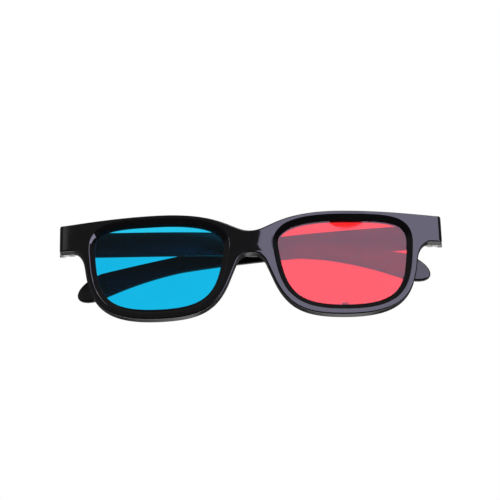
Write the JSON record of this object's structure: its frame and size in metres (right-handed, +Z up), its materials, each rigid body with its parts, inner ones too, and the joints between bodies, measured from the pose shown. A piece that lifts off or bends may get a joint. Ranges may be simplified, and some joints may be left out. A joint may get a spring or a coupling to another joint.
{
  "type": "3d glasses",
  "caption": "Black plastic anaglyph glasses with a cyan and a red lens, a curved full-rim front and two hinged folding temples, stored folded.",
  "frame": {"origin": "top of the nose arch, on the front face, in the middle of the bridge", "axes": "+X to the viewer's right across the front, +Y back towards the wearer, +Z up; left in a name is -X, the viewer's left"},
  "size_m": [0.1544, 0.0256, 0.0433],
  "materials": {
    "black_plastic": "polished black injection-moulded plastic",
    "cyan_film": "clear cyan filter film",
    "red_film": "clear red filter film",
    "pin_steel": "drawn steel wire"
  },
  "bodies": {
    "front": {"front_frame": "black_plastic", "cyan_lens": "cyan_film", "red_lens": "red_film", "left_lens_retainer": "black_plastic", "right_lens_retainer": "black_plastic", "left_hinge_pin": "pin_steel", "right_hinge_pin": "pin_steel"},
    "left_temple": {"left_temple": "black_plastic"},
    "right_temple": {"right_temple": "black_plastic"}
  },
  "joints": [
    {"name": "right_temple_hinge", "type": "hinge", "parent": "front", "child": "right_temple", "pos_m": [0.0723, 0.01229, 0.00958], "axis": [0, -0.0872, -0.9962], "range_deg": [0, 85.6]},
    {"name": "left_temple_hinge", "type": "hinge", "parent": "front", "child": "left_temple", "pos_m": [-0.0723, 0.01229, 0.00958], "axis": [0, 0.0872, 0.9962], "range_deg": [0, 90.8]}
  ],
  "couplings": [
    {"joint": "left_temple_hinge", "follows": "right_temple_hinge", "ratio": 0.15}
  ]
}
